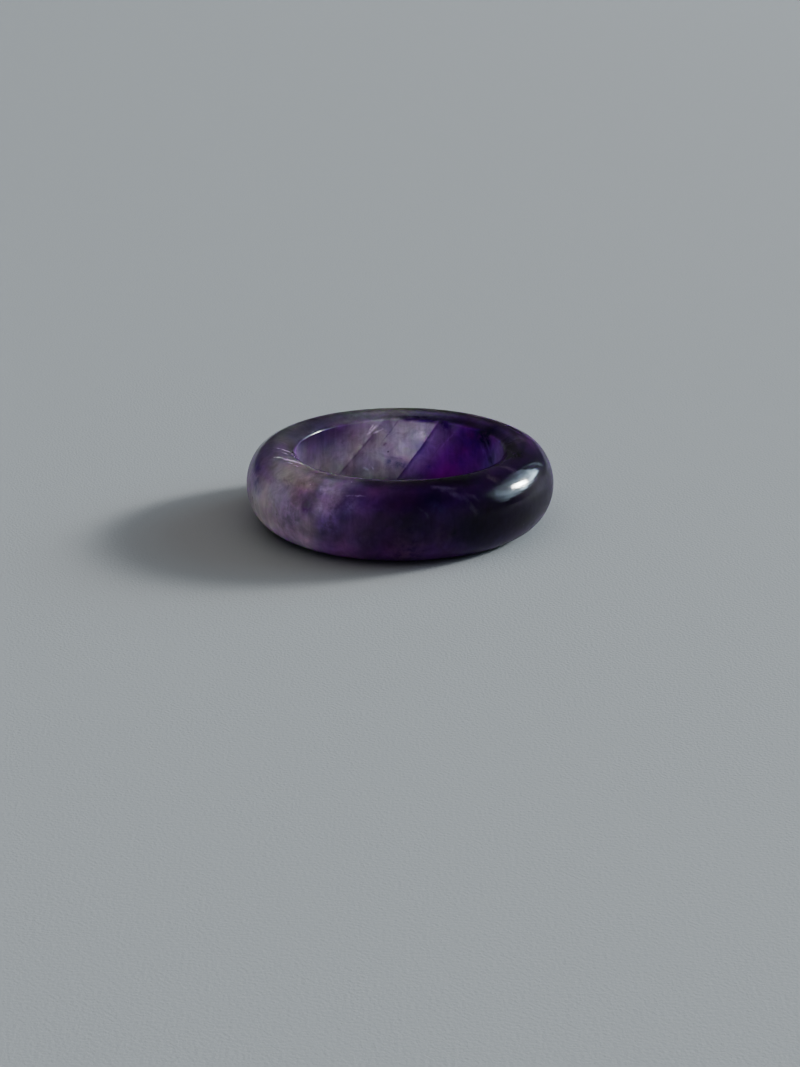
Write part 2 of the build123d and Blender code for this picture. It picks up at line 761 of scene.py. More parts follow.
# %% [markdown]
# ## The cracks
#
# Where two layers parted and healed again, a fine dark line follows the layer across the bore. It
# hangs on the same height as the zones, so it bends with them, and a patchy noise lets it come and
# go.

# %% Name and lay the cracks
CRACKS = (
    # height mm, width mm, strength, height in the bore in mm where it sets in and where it is whole
    (-5.45, 0.13, 0.45, 2.0, 1.0),
    (-4.50, 0.10, 0.55, 0.2, 1.6),
    (-1.62, 0.07, 0.60, -4.0, -3.5),
    (-0.35, 0.06, 0.40, -4.0, -3.5),
)
CRACK_SHADE = (0.13, 0.10, 0.15)
CRACK_PATCHES = 0.8  # mm
FAINTEST = 0.45  # the share of a crack that shows everywhere


def lay_cracks(tree, colour, place, height):
    """Fine dark lines that follow a layer and come and go."""
    patchy = ease(tree, cloud(tree, place, CRACK_PATCHES, detail=4.0, rough=0.6), 0.42, 0.62)
    patchy = reckon(tree, "MULTIPLY_ADD", patchy, 1 - FAINTEST, FAINTEST)
    for layer, width, strength, start, whole in CRACKS:
        away = reckon(tree, "ABSOLUTE", reckon(tree, "SUBTRACT", height, layer))
        amount = both(tree, ease(tree, away, width, 0.0), patchy)
        amount = both(tree, amount, ease(tree, split(tree, place)[2], start, whole))
        colour = tint(tree, reckon(tree, "MULTIPLY", amount, strength), colour, CRACK_SHADE)
    return colour


print(len(CRACKS), "cracks in the bore")

# %% [markdown]
# ## The shades
#
# Milk, smoke and violet come back in many places, so these shades are named. A shade that is needed
# only once stands in its own row.

# %% Name the shades
MILKY = (0.43, 0.47, 0.42)
GREENISH = (0.44, 0.47, 0.41)
SMOKY_YELLOW = (0.42, 0.47, 0.34)
BEIGE = (0.62, 0.66, 0.60)
PINKISH = (0.46, 0.42, 0.42)
INDIGO = (0.09, 0.07, 0.19)
PLUM = (0.18, 0.12, 0.20)
NIGHT = (0.020, 0.008, 0.035)
TEAL_GREY = (0.24, 0.30, 0.31)
BORE_VIOLET = (0.17, 0.09, 0.23)
PALE_LILAC = (0.54, 0.56, 0.56)
ROYAL = (0.12, 0.004, 0.18)
print("the palest shade is", BEIGE, "and the darkest", NIGHT)

# %% [markdown]
# ## The clouds' places
#
# The front left is milky and smoky with indigo patches in it, the front right sinks into a violet
# that is nearly black, and in the bore pale lilac and royal violet lie side by side. Places are in
# millimetres from the ring's centre: to the right, away from us and up.

# %% Name the clouds outside
OUTSIDE_CLOUDS = (
    # centre mm, reach mm, strength, shade
    ((-5.4, -10.9, 2.2), 1.5, 0.8, MILKY),
    ((-5.95, -10.25, 2.6), 1.2, 1.0, MILKY),
    ((-3.9, -11.6, 1.9), 1.2, 0.5, MILKY),
    ((-5.6, -11.3, 1.2), 1.2, 0.5, MILKY),
    ((-6.7, -8.2, 3.25), 1.6, 0.7, GREENISH),
    ((-8.0, -8.7, 2.5), 1.4, 0.8, SMOKY_YELLOW),
    ((-7.2, -9.4, 2.4), 1.1, 0.7, SMOKY_YELLOW),
    ((-8.8, -9.3, 0.4), 3.2, 0.6, PINKISH),
    ((-10.5, -7.4, -0.5), 2.6, 0.5, PINKISH),
    ((-7.4, -10.0, 1.8), 0.9, 0.35, PLUM),
    ((-7.5, -10.5, 1.15), 0.9, 1.0, PLUM),
    ((-6.3, -11.1, 1.2), 1.0, 0.6, MILKY),
    ((-8.8, -3.3, 3.1), 1.7, 1.0, (0.22, 0.18, 0.28)),
    ((-5.7, -11.4, 0.0), 1.5, 0.8, (0.30, 0.25, 0.42)),
    ((4.6, -8.5, 3.15), 2.4, 1.5, (0.055, 0.06, 0.075)),
    ((9.2, 1.2, 3.1), 1.7, 1.0, (0.40, 0.28, 0.62)),
    ((2.5, -9.2, 3.2), 1.8, 1.3, NIGHT),
    ((-4.2, -9.5, 3.3), 1.2, 0.6, (0.20, 0.16, 0.22)),
    ((-8.9, 5.2, 3.3), 1.7, 0.9, (0.36, 0.31, 0.42)),
    ((0.3, -12.3, -2.0), 2.4, 0.5, (0.22, 0.12, 0.23)),
    ((0.2, -12.8, 0.7), 1.3, 0.6, NIGHT),
    ((0.4, -12.8, -0.7), 2.4, 0.5, (0.14, 0.06, 0.15)),
    ((3.2, -12.4, -0.5), 1.6, 0.4, (0.13, 0.06, 0.14)),
    ((2.8, -12.2, 1.7), 1.0, 0.4, INDIGO),
    ((7.4, -10.2, 0.2), 3.4, 0.9, NIGHT),
    ((9.7, -3.2, 3.3), 2.0, 1.1, NIGHT),
    ((11.4, 2.0, 0.8), 4.0, 0.9, NIGHT),
    ((4.3, -12.1, -0.4), 0.5, 0.8, NIGHT),
    ((-1.6, 9.7, 3.2), 2.2, 0.8, BEIGE),
    ((-4.2, 8.9, 3.2), 2.0, 0.6, BEIGE),
)
print(len(OUTSIDE_CLOUDS), "clouds outside")

# %% [markdown]
# The bore's clouds lie on the far wall, where they show. Small ones are the spots where a crack
# comes up to the surface.

# %% Name the clouds in the bore
BORE_CLOUDS = (
    # centre mm, reach mm, strength, shade
    ((-7.5, 4.2, 0.8), 2.0, 0.3, BORE_VIOLET),
    ((-7.3, 4.6, -0.8), 1.7, 0.8, (0.19, 0.12, 0.25)),
    ((-8.2, 2.6, 0.8), 1.8, 0.7, (0.10, 0.07, 0.14)),
    ((6.5, 5.7, 2.5), 2.2, 0.9, (0.060, 0.012, 0.110)),
    ((-5.1, 7.0, 2.7), 0.9, 0.4, BORE_VIOLET),
    ((-4.9, 7.1, 1.1), 0.5, 0.7, (0.16, 0.13, 0.17)),
    ((-5.5, 6.7, -0.2), 0.3, 0.6, (0.20, 0.17, 0.20)),
    ((-5.2, 6.9, -0.6), 0.3, 0.6, (0.20, 0.17, 0.20)),
    ((-1.4, 8.5, 0.5), 0.35, 0.7, (0.20, 0.18, 0.19)),
    ((-4.1, 7.6, -2.0), 0.5, 0.35, INDIGO),
    ((2.0, 8.4, 1.5), 1.1, 0.9, PALE_LILAC),
    ((0.4, 8.6, 0.2), 1.0, 0.7, PALE_LILAC),
    ((6.0, 6.2, 1.2), 2.0, 0.8, ROYAL),
    ((5.0, 7.1, -0.7), 1.3, 0.6, ROYAL),
    ((7.3, 4.7, 2.4), 1.6, 1.2, NIGHT),
    ((7.8, 3.8, 0.6), 0.8, 0.6, NIGHT),
    ((8.3, 2.4, 1.8), 1.2, 0.7, (0.24, 0.21, 0.29)),
    ((3.9, 7.7, 2.6), 1.2, 0.9, (0.055, 0.018, 0.085)),
    ((2.5, 8.3, -1.6), 0.4, 0.7, INDIGO),
)
print(len(BORE_CLOUDS), "clouds in the bore")

# %% [markdown]
# ## The streaks' places
#
# White ones are painted highlights, where open scratches and tiny chips catch the window. Grey veils
# are feathers deep in the stone, and rust is a stain in a crack.

# %% Name the streaks outside
# white of the feathers and flecks, and of the painted highlight along the far left lip
WHITE_VEIL_AND_GLINT = (0.80, 0.82, 0.80)
# painted highlight: the white of the window's glints
PAINTED_GLINT = (0.97, 0.97, 0.97)
GREY_VEIL = (0.15, 0.12, 0.19)
RUST = (0.20, 0.17, 0.17)

OUTSIDE_STREAKS = (
    # from mm, to mm, width mm, strength, shade
    ((-11.8, -1.2, 2.7), (-11.3, -6.3, 0.7), 1.0, 0.7, INDIGO),
    ((3.1, -11.0, 2.95), (5.2, -11.2, 2.1), 0.34, 0.6, GREY_VEIL),
    ((4.7, -10.9, 2.5), (6.2, -11.2, 0.8), 0.36, 0.6, GREY_VEIL),
    ((2.3, -10.9, 3.1), (4.6, -10.7, 2.8), 0.32, 0.5, GREY_VEIL),
    ((5.0, -10.8, 2.5), (6.6, -10.7, 1.8), 0.30, 0.4, GREY_VEIL),
    ((1.2, -12.2, 2.1), (2.4, -12.5, 0.9), 0.20, 0.7, GREY_VEIL),
    ((-4.6, -11.1, 2.4), (-2.6, -11.6, 2.5), 0.11, 0.8, MILKY),
    ((-3.0, -12.2, 1.6), (-1.2, -12.4, 1.7), 0.09, 0.5, GREY_VEIL),
    ((-9.4, -7.1, 2.7), (-8.8, -8.4, 2.2), 0.16, 0.6, RUST),
    ((-9.0, -7.6, 2.6), (-8.5, -8.6, 2.3), 0.12, 0.5, RUST),
    ((6.8, -8.4, 3.2), (8.0, -8.6, 2.7), 0.55, 0.6, (0.15, 0.11, 0.16)),
    ((8.0, -6.1, 3.3), (9.4, -6.7, 2.9), 0.55, 0.5, (0.15, 0.11, 0.16)),
    ((-0.9, -11.3, 2.9), (-0.6, -12.1, 2.3), 0.14, 0.5, GREY_VEIL),
    # painted shadow: the far lip's shadow where it reaches the outside, beside the ribbon
    ((-0.3, 9.0, 2.95), (3.4, 8.4, 2.95), 0.30, 0.9, (0.06, 0.035, 0.11)),
    # painted highlights: the window mirrored in scratches on the near left of the top face
    ((-10.2, -1.4, 3.3), (-9.2, -2.0, 3.2), 0.11, 1.1, PAINTED_GLINT),
    ((-9.7, -1.7, 3.3), (-8.75, -2.1, 2.9), 0.15, 2.0, PAINTED_GLINT),
    ((-9.9, -2.5, 3.3), (-9.0, -3.0, 3.2), 0.08, 0.7, PAINTED_GLINT),
    ((-10.4, -3.5, 3.2), (-9.1, -4.4, 3.3), 0.12, 1.6, PAINTED_GLINT),
    ((-9.5, -4.2, 3.3), (-7.7, -5.6, 3.2), 0.20, 2.8, PAINTED_GLINT),
    ((-9.2, -3.6, 3.3), (-8.2, -4.5, 3.2), 0.08, 0.8, PAINTED_GLINT),
    ((-9.4, -4.9, 3.3), (-8.4, -5.8, 3.3), 0.08, 0.8, PAINTED_GLINT),
    ((-8.8, -5.7, 3.3), (-8.1, -6.4, 3.3), 0.09, 0.9, PAINTED_GLINT),
    # painted highlight: the window mirrored along the far left lip
    ((-7.5, 4.65, 2.84), (-5.5, 6.85, 2.80), 0.10, 2.0, WHITE_VEIL_AND_GLINT),
)
print(len(OUTSIDE_STREAKS), "streaks outside")

# %% [markdown]
# In the bore the streaks are feathers: healed cracks that stand out white or grey from the wall.

# %% Name the streaks in the bore
BORE_STREAKS = (
    # from mm, to mm, width mm, strength, shade
    ((-2.9, 8.2, 1.4), (-1.9, 8.45, 2.4), 0.16, 0.9, WHITE_VEIL_AND_GLINT),
    ((-2.7, 8.2, 1.7), (-2.3, 8.35, 2.5), 0.13, 0.8, WHITE_VEIL_AND_GLINT),
    ((-2.4, 8.3, 1.5), (-1.4, 8.5, 2.0), 0.13, 0.7, WHITE_VEIL_AND_GLINT),
    ((-3.3, 8.0, -1.3), (-2.7, 8.2, -1.9), 0.16, 1.0, WHITE_VEIL_AND_GLINT),
    ((-2.6, 8.25, -1.3), (-2.2, 8.35, -1.9), 0.12, 0.9, WHITE_VEIL_AND_GLINT),
    ((-2.9, 8.2, 1.1), (-3.4, 8.0, 0.5), 0.20, 0.6, RUST),
    ((-1.5, 8.5, -1.1), (0.9, 8.6, -1.6), 0.75, 1.0, TEAL_GREY),
    ((-1.5, 8.5, -0.55), (0.7, 8.6, -0.95), 0.14, 0.35, (0.24, 0.27, 0.27)),
    ((4.8, 7.2, 2.1), (3.4, 8.0, 0.2), 0.14, 0.6, (0.30, 0.22, 0.36)),
    ((6.9, 5.2, 1.8), (7.5, 4.3, 0.0), 0.40, 0.6, (0.26, 0.16, 0.32)),
    ((7.2, 4.9, 2.4), (7.9, 3.5, 0.6), 0.26, 0.4, (0.26, 0.18, 0.32)),
    ((-2.8, 8.2, -2.35), (0.9, 8.6, -2.7), 0.25, 0.35, (0.16, 0.04, 0.15)),
)
print(len(BORE_STREAKS), "streaks in the bore")

# %% [markdown]
# Under the far lip runs a dark ribbon, the shadow that the lip throws down the wall. It lies across
# the change from bore to outside, so it is laid last, over both.

# %% Name the ribbon
RIBBON = (
    # from mm, to mm, width mm, strength, shade
    ((-0.1, 8.76, 2.76), (1.9, 8.58, 2.76), 0.34, 1.2, (0.085, 0.060, 0.12)),
    ((1.2, 8.66, 2.76), (3.5, 8.05, 2.70), 0.36, 1.3, (0.070, 0.045, 0.11)),
)
print(len(RIBBON), "parts of the ribbon")

# %% [markdown]
# ## Flecks and pits
#
# The milky layers owe their white to tiny hollows, of which the biggest show as single flecks. All
# layers have a few dark pits that the polish didn't take away. Both are dots at random: a Voronoi
# texture scatters cells, a dot sits in the middle of each, and only a share of them is kept.

# %% Scatter the flecks and pits
FLECKS = (0.55, 0.09, 0.12)  # mm apart, mm of radius, share that shows
FLECK_STRENGTH = 0.5
PITS = (1.1, 0.13, 0.25)
PIT_STRENGTH = 0.55
PIT_SHADE = (0.05, 0.04, 0.07)


def dots(tree, place, apart, size, share):
    """Round dots of a size, about apart from each other, of which a share shows."""
    cells = put(tree, "ShaderNodeTexVoronoi", feature="F1", voronoi_dimensions="3D")
    feed(tree, cells.inputs["Vector"], place)
    cells.inputs["Scale"].default_value = 1 / apart
    dot = ease(tree, cells.outputs["Distance"], size / apart, 0.4 * size / apart)
    chosen = put(tree, "ShaderNodeSeparateColor")
    tree.links.new(cells.outputs["Color"], chosen.inputs[0])
    return both(tree, dot, reckon(tree, "LESS_THAN", chosen.outputs[0], share))


def sprinkle(tree, colour, place, height):
    """White flecks in the milky layers and dark pits in all of them."""
    milky = both(tree, ease(tree, height, -5.0, -3.6), ease(tree, height, -1.2, -1.8))
    flecks = both(tree, dots(tree, place, *FLECKS), milky)
    colour = tint(tree, reckon(tree, "MULTIPLY", flecks, FLECK_STRENGTH), colour, WHITE_VEIL_AND_GLINT)
    pits = dots(tree, place, *PITS)
    return tint(tree, reckon(tree, "MULTIPLY", pits, PIT_STRENGTH), colour, PIT_SHADE)


tell_helpers(dots, sprinkle)

# %% [markdown]
# ## The stone's own grain
#
# Under the named marks lies a grain that is everywhere: blotches about a millimetre wide, upright
# threads where the crystal's fibres meet the cut, and a slow wandering between blue and plum. Noise
# makes all three. The threads come from a place whose height is pressed together, so that the noise
# hardly changes on the way up.

# %% Mottle the colour
BLOTCHES, THREADS, WANDERING = 1.1, 0.42, 2.6  # mm
PRESSED = (1.0, 1.0, 0.12)
BLUER = (0.96, 1.0, 1.05)
REDDER = (1.04, 1.0, 0.96)


def mottle(tree, colour, place):
    """Blotches, upright threads and a slow change of hue."""
    blotches = cloud(tree, place, BLOTCHES, detail=5.0, rough=0.62, swirl=0.6)
    blotchy = ease(tree, blotches, 0.28, 0.72)
    upright = reckon_place(tree, "MULTIPLY", place, PRESSED)
    threads = ease(tree, cloud(tree, upright, THREADS, detail=3.0, rough=0.6), 0.3, 0.7)
    lighter = reckon(tree, "MULTIPLY_ADD", blotchy, 0.36, 0.82)
    threaded = reckon(tree, "MULTIPLY_ADD", reckon(tree, "SUBTRACT", threads, 0.5), 0.16, 1.0)
    colour = tone(tree, colour, reckon(tree, "MULTIPLY", lighter, threaded))
    wander = ease(tree, cloud(tree, place, WANDERING, detail=2.0), 0.35, 0.65)
    return shift_hue(tree, 1.0, colour, tint(tree, wander, BLUER, REDDER))


tell_helpers(mottle)

# %% [markdown]
# ## The polished skin
#
# Tumbling leaves ripples too shallow to see except in a reflection, and wear adds hair-fine scratches
# that run round the band. The scratches are a noise that hardly changes round the ring but quickly
# across the wall, so it is fed with the distance from the axis and the height, and a little of the
# place itself lets them end.

# %% Ripple and scratch the skin
ACROSS, ROUND = 4.5, 0.5  # how fast the scratches change, per mm across the wall and round the band
SCRATCH_DEPTH = 0.010  # mm
RIPPLE_LENGTH = 0.9  # mm
RIPPLE_DEPTH = 0.012  # mm


def polished_skin(tree, place):
    """Ripples and scratches round the band, as one bump."""
    _, _, z = split(tree, place)
    section = reckon_place(tree, "SCALE", join(tree, how_far_out(tree, place), z, 0.0), ACROSS)
    round_the_band = reckon_place(tree, "ADD", section, reckon_place(tree, "SCALE", place, ROUND))
    scratches = cloud(tree, round_the_band, 1.0, detail=2.0, rough=0.6)
    ripples = cloud(tree, place, RIPPLE_LENGTH, detail=3.0, rough=0.55)
    rippled = reckon(tree, "MULTIPLY", ripples, RIPPLE_DEPTH)
    depth = reckon(tree, "MULTIPLY_ADD", scratches, SCRATCH_DEPTH, rippled)
    bump = put(tree, "ShaderNodeBump")
    bump.inputs["Strength"].default_value = 1.0
    bump.inputs["Distance"].default_value = MM
    feed(tree, bump.inputs["Height"], depth)
    return bump.outputs["Normal"]


tell_helpers(polished_skin)

# %% [markdown]
# The belly rubs on the other rings of a stack, which dulls it, and the drill leaves the bore duller
# than a wheel leaves the outside. So the clear coat is whole on top and thinner in those places.

# %% Wear the polish
BELLY_WEAR = 0.5
SIDE_WEAR = 0.5
FAR_RIGHT_WEAR = 0.6
BORE_WEAR = 0.6


def worn_polish(tree, place):
    """The weight of the clear coat: whole above, thinner on the belly, at the sides and in the bore."""
    x, y, z = split(tree, place)
    belly = reckon(tree, "MULTIPLY_ADD", ease(tree, z, 1.7, 0.0), -BELLY_WEAR, 1.0)
    sides = ease(tree, reckon(tree, "ABSOLUTE", x), 11.2, 12.3)
    polish = darken(tree, belly, sides, SIDE_WEAR)
    far_right = both(tree, ease(tree, x, 10.2, 11.0), ease(tree, y, -0.6, 0.8))
    polish = darken(tree, polish, far_right, FAR_RIGHT_WEAR)
    drilled = both(tree, in_the_bore(tree, place), ease(tree, z, 2.7, 2.4))
    return darken(tree, polish, drilled, BORE_WEAR)


tell_helpers(worn_polish)

# %% [markdown]
# ## How clear the stone is
#
# Light goes a long way into the clear violet and comes out softened. The upper edge is where the
# marks have to stay sharp, and the darkest end swallows light at once, so in both of them it doesn't
# get far.

# %% Set how far light goes in
CLEAR_REACH = 25.0 * MM
DENSE_REACH = 5.0 * MM
DARK_END_LOSS = 0.8


def how_clear(tree, place, height, edge):
    """How far light goes into the stone, in metres: less in the upper edge and the dark end."""
    x, _, _ = split(tree, place)
    dense = reckon(tree, "MAXIMUM", edge, ease(tree, height, 6.0, 9.0))
    reach = reckon(tree, "MULTIPLY_ADD", dense, DENSE_REACH - CLEAR_REACH, CLEAR_REACH)
    return darken(tree, reach, ease(tree, x, 9.5, 11.8), DARK_END_LOSS)


tell_helpers(how_clear)

# %% [markdown]
# ## The colour of the stone
#
# Now the layers are put together as a painter would do it: first the broad zones, then the clouds,
# then the painted shade and the hues that go over all of them, and the sharp marks last. Drawn as
# they stand in the tables, the marks would be smooth ovals and lines. So they are looked up at a
# place that noise has shifted by a tenth of a millimetre or so, and a torn pattern thins them here
# and there.

# %% Fray the marks
SHIFT = 0.3  # mm from the farthest left to the farthest right
SIDEWAYS_NOISE, UPWARD_NOISE, TORN_NOISE = 0.5, 0.8, 0.7  # mm
TORN_STRENGTH = 1.4


def fray_marks(tree, place):
    """The shifted place at which marks are looked up, and the torn pattern of their strength."""
    sideways = cloud(tree, place, SIDEWAYS_NOISE, detail=3.0)
    shift = reckon(tree, "MULTIPLY_ADD", sideways, SHIFT, -SHIFT / 2)
    upward = cloud(tree, place, UPWARD_NOISE, detail=2.0)
    lift = reckon(tree, "MULTIPLY_ADD", upward, SHIFT, -SHIFT / 2)
    frayed_place = reckon_place(tree, "ADD", place, join(tree, shift, shift, lift))
    torn = ease(tree, cloud(tree, place, TORN_NOISE, detail=5.0, rough=0.65), 0.3, 0.66)
    return frayed_place, reckon(tree, "MULTIPLY", torn, TORN_STRENGTH)


tell_helpers(fray_marks)

# %% [markdown]
# The outside gets its zones and clouds first. The painted shade and the hues go over both, region
# by region, and the far lip's ramp over that. The streaks stay on top, so that no painted shade
# dulls them.

# %% Paint the outside


def paint_outside(tree, place, height, bore, frayed_place, fray):
    """The outside's colour, and the share of the upper edge."""
    outside = zone_colour(tree, height, OUTSIDE_ZONES)
    outside = lay_clouds(tree, outside, frayed_place, fray, OUTSIDE_CLOUDS)
    edge = upper_edge(tree, place, bore)
    # painted shade: darker on top, on the slopes and at the far side, and painted light below
    outside = tone(tree, outside, painted_shade_by_place(tree, place, edge))
    outside = shift_hue(tree, edge, outside, EDGE_HUE)
    underside = ease(tree, split(tree, place)[2], -0.6, -2.4)
    outside = shift_hue(tree, underside, outside, UNDER_HUE)
    _, y, z = split(tree, place)
    outside = shift_hue(tree, ease(tree, y, 2.0, 7.0), outside, FAR_HUE)
    outside = shift_hue(tree, behind_the_ring(tree, y, z), outside, BEHIND_HUE)
    outside = tint(tree, far_lip(tree, place), outside, zone_colour(tree, height, FAR_LIP_ZONES))
    return lay_streaks(tree, outside, frayed_place, fray, OUTSIDE_STREAKS), edge


tell_helpers(paint_outside)

# %% [markdown]
# The bore is lit before its clouds are laid, because their shades are those of the lit wall. Then
# both parts are joined at the lip, and what crosses it is laid over the whole.

# %% Paint the bore and join the two


def paint_bore(tree, place, height, frayed_place, fray):
    """The colour of the drilled wall."""
    inside = lit_from_below(tree, place, zone_colour(tree, height, BORE_ZONES))
    inside = lay_clouds(tree, inside, frayed_place, fray, BORE_CLOUDS)
    inside = lay_cracks(tree, inside, place, height)
    return lay_streaks(tree, inside, frayed_place, fray, BORE_STREAKS)


def paint_stone(tree, place, height):
    """The colour of the whole stone, and the share of the upper edge."""
    bore = in_the_bore(tree, place)
    frayed_place, fray = fray_marks(tree, place)
    outside, edge = paint_outside(tree, place, height, bore, frayed_place, fray)
    inside = paint_bore(tree, place, height, frayed_place, fray)
    colour = tint(tree, bore, outside, inside)
    colour = lay_streaks(tree, colour, frayed_place, 1.0, RIBBON)
    colour = shift_hue(tree, near_left_top(tree, place, *CREST_REGION), colour, CREST_HUE)
    colour = shift_hue(tree, near_left_top(tree, place, *SHOULDER_REGION), colour, SHOULDER_HUE)
    colour = mottle(tree, colour, place)
    return sprinkle(tree, colour, frayed_place, height), edge


tell_helpers(paint_bore, paint_stone)

# %% [markdown]
# ## The stone
#
# Light goes deep into this stone and comes out again somewhere else, which is what gives amethyst
# its glow against the light. Subsurface scattering that mostly goes forward does that. A volume
# inside the mesh would be truer, but it is slow and noisy to render, and few viewers can show it.
# The polish is a clear coat with the refractive index of quartz. The layer under it must not mirror
# the room a second time, so its own reflection is switched off.

# %% Make the stone
QUARTZ_INDEX = 1.544
BODY_ROUGHNESS = 0.3
COAT_ROUGHNESS = 0.08
COLOURS_REACH = (1.0, 0.6, 1.2)  # how far red, green and blue go, as shares of the reach
FORWARD = 0.85  # 0 scatters light to all sides, 1 straight on
MILKY_CLEARNESS, VIOLET_CLEARNESS = 0.15, 0.30  # how much of the light passes straight through


def banded_amethyst():
    """The stone's material."""
    material = bpy.data.materials.new("banded_amethyst")
    material.use_nodes = True
    tree = material.node_tree
    shader = tree.nodes["Principled BSDF"]
    place = in_millimetres(tree)
    height = height_in_crystal(tree, place)
    colour, edge = paint_stone(tree, place, height)
    tree.links.new(colour, shader.inputs["Base Color"])
    skin = polished_skin(tree, place)
    tree.links.new(skin, shader.inputs["Normal"])
    tree.links.new(skin, shader.inputs["Coat Normal"])
    tree.links.new(worn_polish(tree, place), shader.inputs["Coat Weight"])
    violet = ease(tree, height, -2.2, -1.2)
    gain = VIOLET_CLEARNESS - MILKY_CLEARNESS
    clearness = reckon(tree, "MULTIPLY_ADD", violet, gain, MILKY_CLEARNESS)
    feed(tree, shader.inputs["Transmission Weight"], clearness)
    shader.inputs["Roughness"].default_value = BODY_ROUGHNESS
    shader.inputs["IOR"].default_value = QUARTZ_INDEX
    shader.inputs["Specular IOR Level"].default_value = 0.0
    shader.inputs["Specular Tint"].default_value = (0, 0, 0, 1)
    shader.inputs["Subsurface Weight"].default_value = 1.0
    shader.inputs["Subsurface Radius"].default_value = COLOURS_REACH
    tree.links.new(how_clear(tree, place, height, edge), shader.inputs["Subsurface Scale"])
    shader.inputs["Subsurface Anisotropy"].default_value = FORWARD
    shader.inputs["Coat Roughness"].default_value = COAT_ROUGHNESS
    shader.inputs["Coat IOR"].default_value = QUARTZ_INDEX
    return material


stone = banded_amethyst()
ring_mesh.materials.append(stone)
print("the stone has", len(stone.node_tree.nodes), "nodes")

# %% [markdown]
# ## The floor
#
# The ring lies on a matt, pale table top with the fine grain of a moulded surface. One big square
# is enough, because it runs out of the picture on all sides. The grain is only a bump, since it is
# far too fine to change an outline.

# %% Lay the floor
FLOOR_SIZE = 6.0
FLOOR_COLOUR = (0.448, 0.480, 0.506)
FLOOR_ROUGHNESS = 0.8
FLOOR_SHINE = 0.1
GRAIN_LENGTH = 0.22  # mm
GRAIN_DEPTH = 0.05 * MM
GRAIN_STRENGTH = 0.6


def floor_paint():
    """The table top's material."""
    material = bpy.data.materials.new("pale_floor")
    material.use_nodes = True
    tree = material.node_tree
    shader = tree.nodes["Principled BSDF"]
    place = in_millimetres(tree)
    grain = cloud(tree, place, GRAIN_LENGTH, detail=2.0)
    bump = put(tree, "ShaderNodeBump")
    bump.inputs["Strength"].default_value = GRAIN_STRENGTH
    bump.inputs["Distance"].default_value = GRAIN_DEPTH
    feed(tree, bump.inputs["Height"], grain)
    tree.links.new(bump.outputs["Normal"], shader.inputs["Normal"])
    shader.inputs["Base Color"].default_value = (*FLOOR_COLOUR, 1)
    shader.inputs["Roughness"].default_value = FLOOR_ROUGHNESS
    shader.inputs["Specular IOR Level"].default_value = FLOOR_SHINE
    return material


floor_shape = bmesh.new()
bmesh.ops.create_grid(floor_shape, x_segments=1, y_segments=1, size=FLOOR_SIZE / 2)
floor_mesh = bpy.data.meshes.new("floor")
floor_shape.to_mesh(floor_mesh)
floor_shape.free()
floor_mesh.materials.append(floor_paint())
floor = bpy.data.objects.new("floor", floor_mesh)
bpy.context.scene.collection.objects.link(floor)
print("the floor is", FLOOR_SIZE, "m wide")

# %% [markdown]
# ## The window
#
# One window on the right lights everything. Seen from the table it isn't even: a bright pane of sky
# stands in a wider field dimmed by a curtain, a low pane shows under it, and next to the frame there
# is a thin strip. In a polished stone each of these is a part of the highlight, so the window is made
# of several soft lamps. A plain area lamp would be mirrored as a hard white square. Nodes on the lamp
# can fade it towards its edges, which is what a curtain does, and roughen its sill.

# %% Fade a lamp towards its edges
RAGGED = 0.16  # how far the sill wanders up and down, as a share of the lamp's height
RAGS, PATCHES = 0.05, 0.16  # their sizes, as a share of the lamp
DIMMEST = 0.4  # what is left of the light between the brighter patches


def fade_lamp(tree, edges):
    """Fades a lamp towards its four edges and makes it a little uneven."""
    over_the_pane = put(tree, "ShaderNodeNewGeometry").outputs["Parametric"]
    across, up, _ = split(tree, over_the_pane)
    ragged = reckon(tree, "SUBTRACT", cloud(tree, over_the_pane, RAGS, detail=2.0), 0.5)
    up = reckon(tree, "MULTIPLY_ADD", ragged, RAGGED, up)
    far, close, sill, top = edges
    light = both(tree, ease(tree, across, 0.0, far), ease(tree, across, 1.0, 1.0 - close))
    light = both(tree, light, ease(tree, up, 0.0, sill))
    light = both(tree, light, ease(tree, up, 1.0, 1.0 - top))
    patchy = ease(tree, cloud(tree, over_the_pane, PATCHES, detail=3.0), 0.25, 0.65)
    light = both(tree, light, reckon(tree, "MULTIPLY_ADD", patchy, 1 - DIMMEST, DIMMEST))
    feed(tree, tree.nodes["Emission"].inputs["Strength"], light)


tell_helpers(fade_lamp)

# %% [markdown]
# A lamp's radiance is how bright its face looks, and that is what a polished stone mirrors. Blender
# wants its power, which is the radiance times pi times the area. The lamp looks back at the ring
# from its direction, and a roll tilts it in its own plane.

# %% Make a soft lamp
LAMP_DISTANCE = 4.0


def direction(azimuth, elevation):
    """The way to a lamp: azimuth 0 is away from the camera, and 90 to the right."""
    flat = math.cos(elevation)
    return Vector((math.sin(azimuth) * flat, math.cos(azimuth) * flat, math.sin(elevation)))


